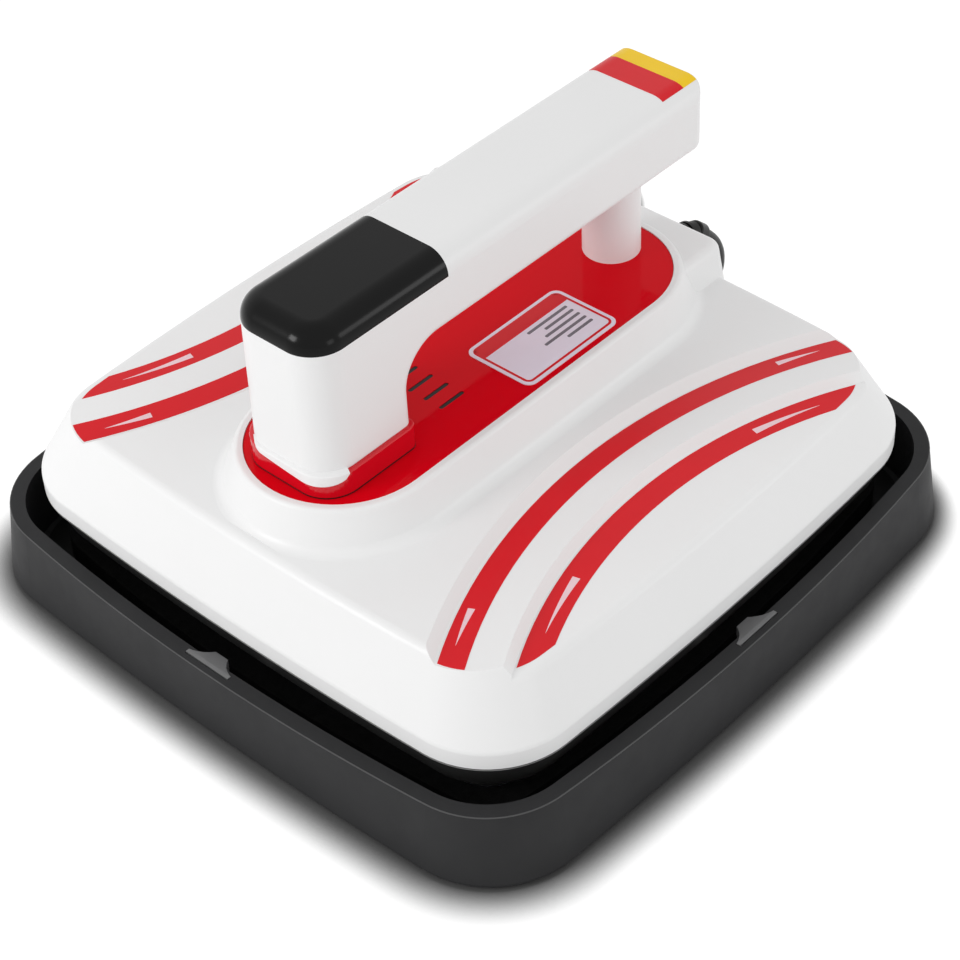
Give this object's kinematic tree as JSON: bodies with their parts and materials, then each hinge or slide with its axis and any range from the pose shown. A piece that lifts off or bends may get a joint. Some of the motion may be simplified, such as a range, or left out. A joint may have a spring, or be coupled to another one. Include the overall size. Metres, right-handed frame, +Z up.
{
  "type": "portable heat press",
  "caption": "Portable heat press: square hot plate in a bevelled housing with stepped arcs, carrying handle on top and a mains lead, parked in its deep safety base.",
  "frame": {"origin": "middle of the safety base on the surface it stands on", "axes": "+Z up; +X to the right seen from the display end; -Y the handle's display end, +Y the mains lead end"},
  "size_m": [0.3123, 0.4428, 0.1644],
  "materials": {
    "white_shell": "glossy white moulded plastic",
    "tray_grey": "fine matt dark grey moulded plastic",
    "tab_grey": "matt mid grey plastic",
    "skirt_black": "satin black heat-resistant plastic",
    "foot_rubber": "matt black rubber",
    "liner_black": "satin black coated steel sheet",
    "mat_fibre": "grey fibre mat",
    "plate_metal": "machined aluminium",
    "steel": "plain steel",
    "fibre_white": "off-white ceramic fibre",
    "ceramic": "white ceramic",
    "board_green": "green circuit board",
    "component_black": "black moulded component",
    "red_gloss": "mirror-gloss red plastic",
    "red_film": "glossy red printed film",
    "yellow_film": "glossy yellow printed film",
    "label_white": "satin white label film",
    "cap_black": "mirror-gloss black plastic",
    "cord_black": "satin black flexible PVC",
    "brass": "plain brass"
  },
  "bodies": {
    "base": {"base_tray": "tray_grey", "base_liner": "liner_black", "insulation_mat": "mat_fibre", "guide_tabs": "tab_grey", "base_feet": "foot_rubber", "base_screws": "steel"},
    "press_head": {"top_shell": "white_shell", "lower_skirt": "skirt_black", "heating_platen": "plate_metal", "heating_element": "steel", "element_terminals": "ceramic", "insulation_blanket": "fibre_white", "heat_shield": "steel", "platen_standoffs": "steel", "platen_screws": "steel", "thermostat": "component_black", "temperature_sensor": "component_black", "thermal_fuse": "ceramic", "power_board": "board_green", "heat_sink": "plate_metal", "terminal_block": "ceramic", "cord_clamp": "component_black", "inner_lead": "cord_black", "handle_harness": "cord_black", "panel_deck": "red_gloss", "rating_plate": "label_white", "leg_collar": "red_gloss", "handle_shell": "white_shell", "handle_cover": "white_shell", "handle_lip": "white_shell", "cover_screws": "steel", "rear_post": "white_shell", "leg_bolts": "steel", "post_bolt": "steel", "display_cap": "cap_black", "display_module": "component_black", "control_board": "board_green", "touch_springs": "steel", "buzzer": "component_black", "stripe_decals": "red_film", "sticker_red": "red_film", "sticker_yellow": "yellow_film", "strain_relief": "cord_black", "mains_cord": "cord_black", "mains_cord_coil": "cord_black", "mains_cord_tail": "cord_black", "plug_body": "cord_black", "plug_pins": "brass"}
  },
  "joints": [
    {"name": "head_lift", "type": "slide", "parent": "base", "child": "press_head", "axis": [0, 0, 1], "range_m": [0, 0.15]}
  ]
}
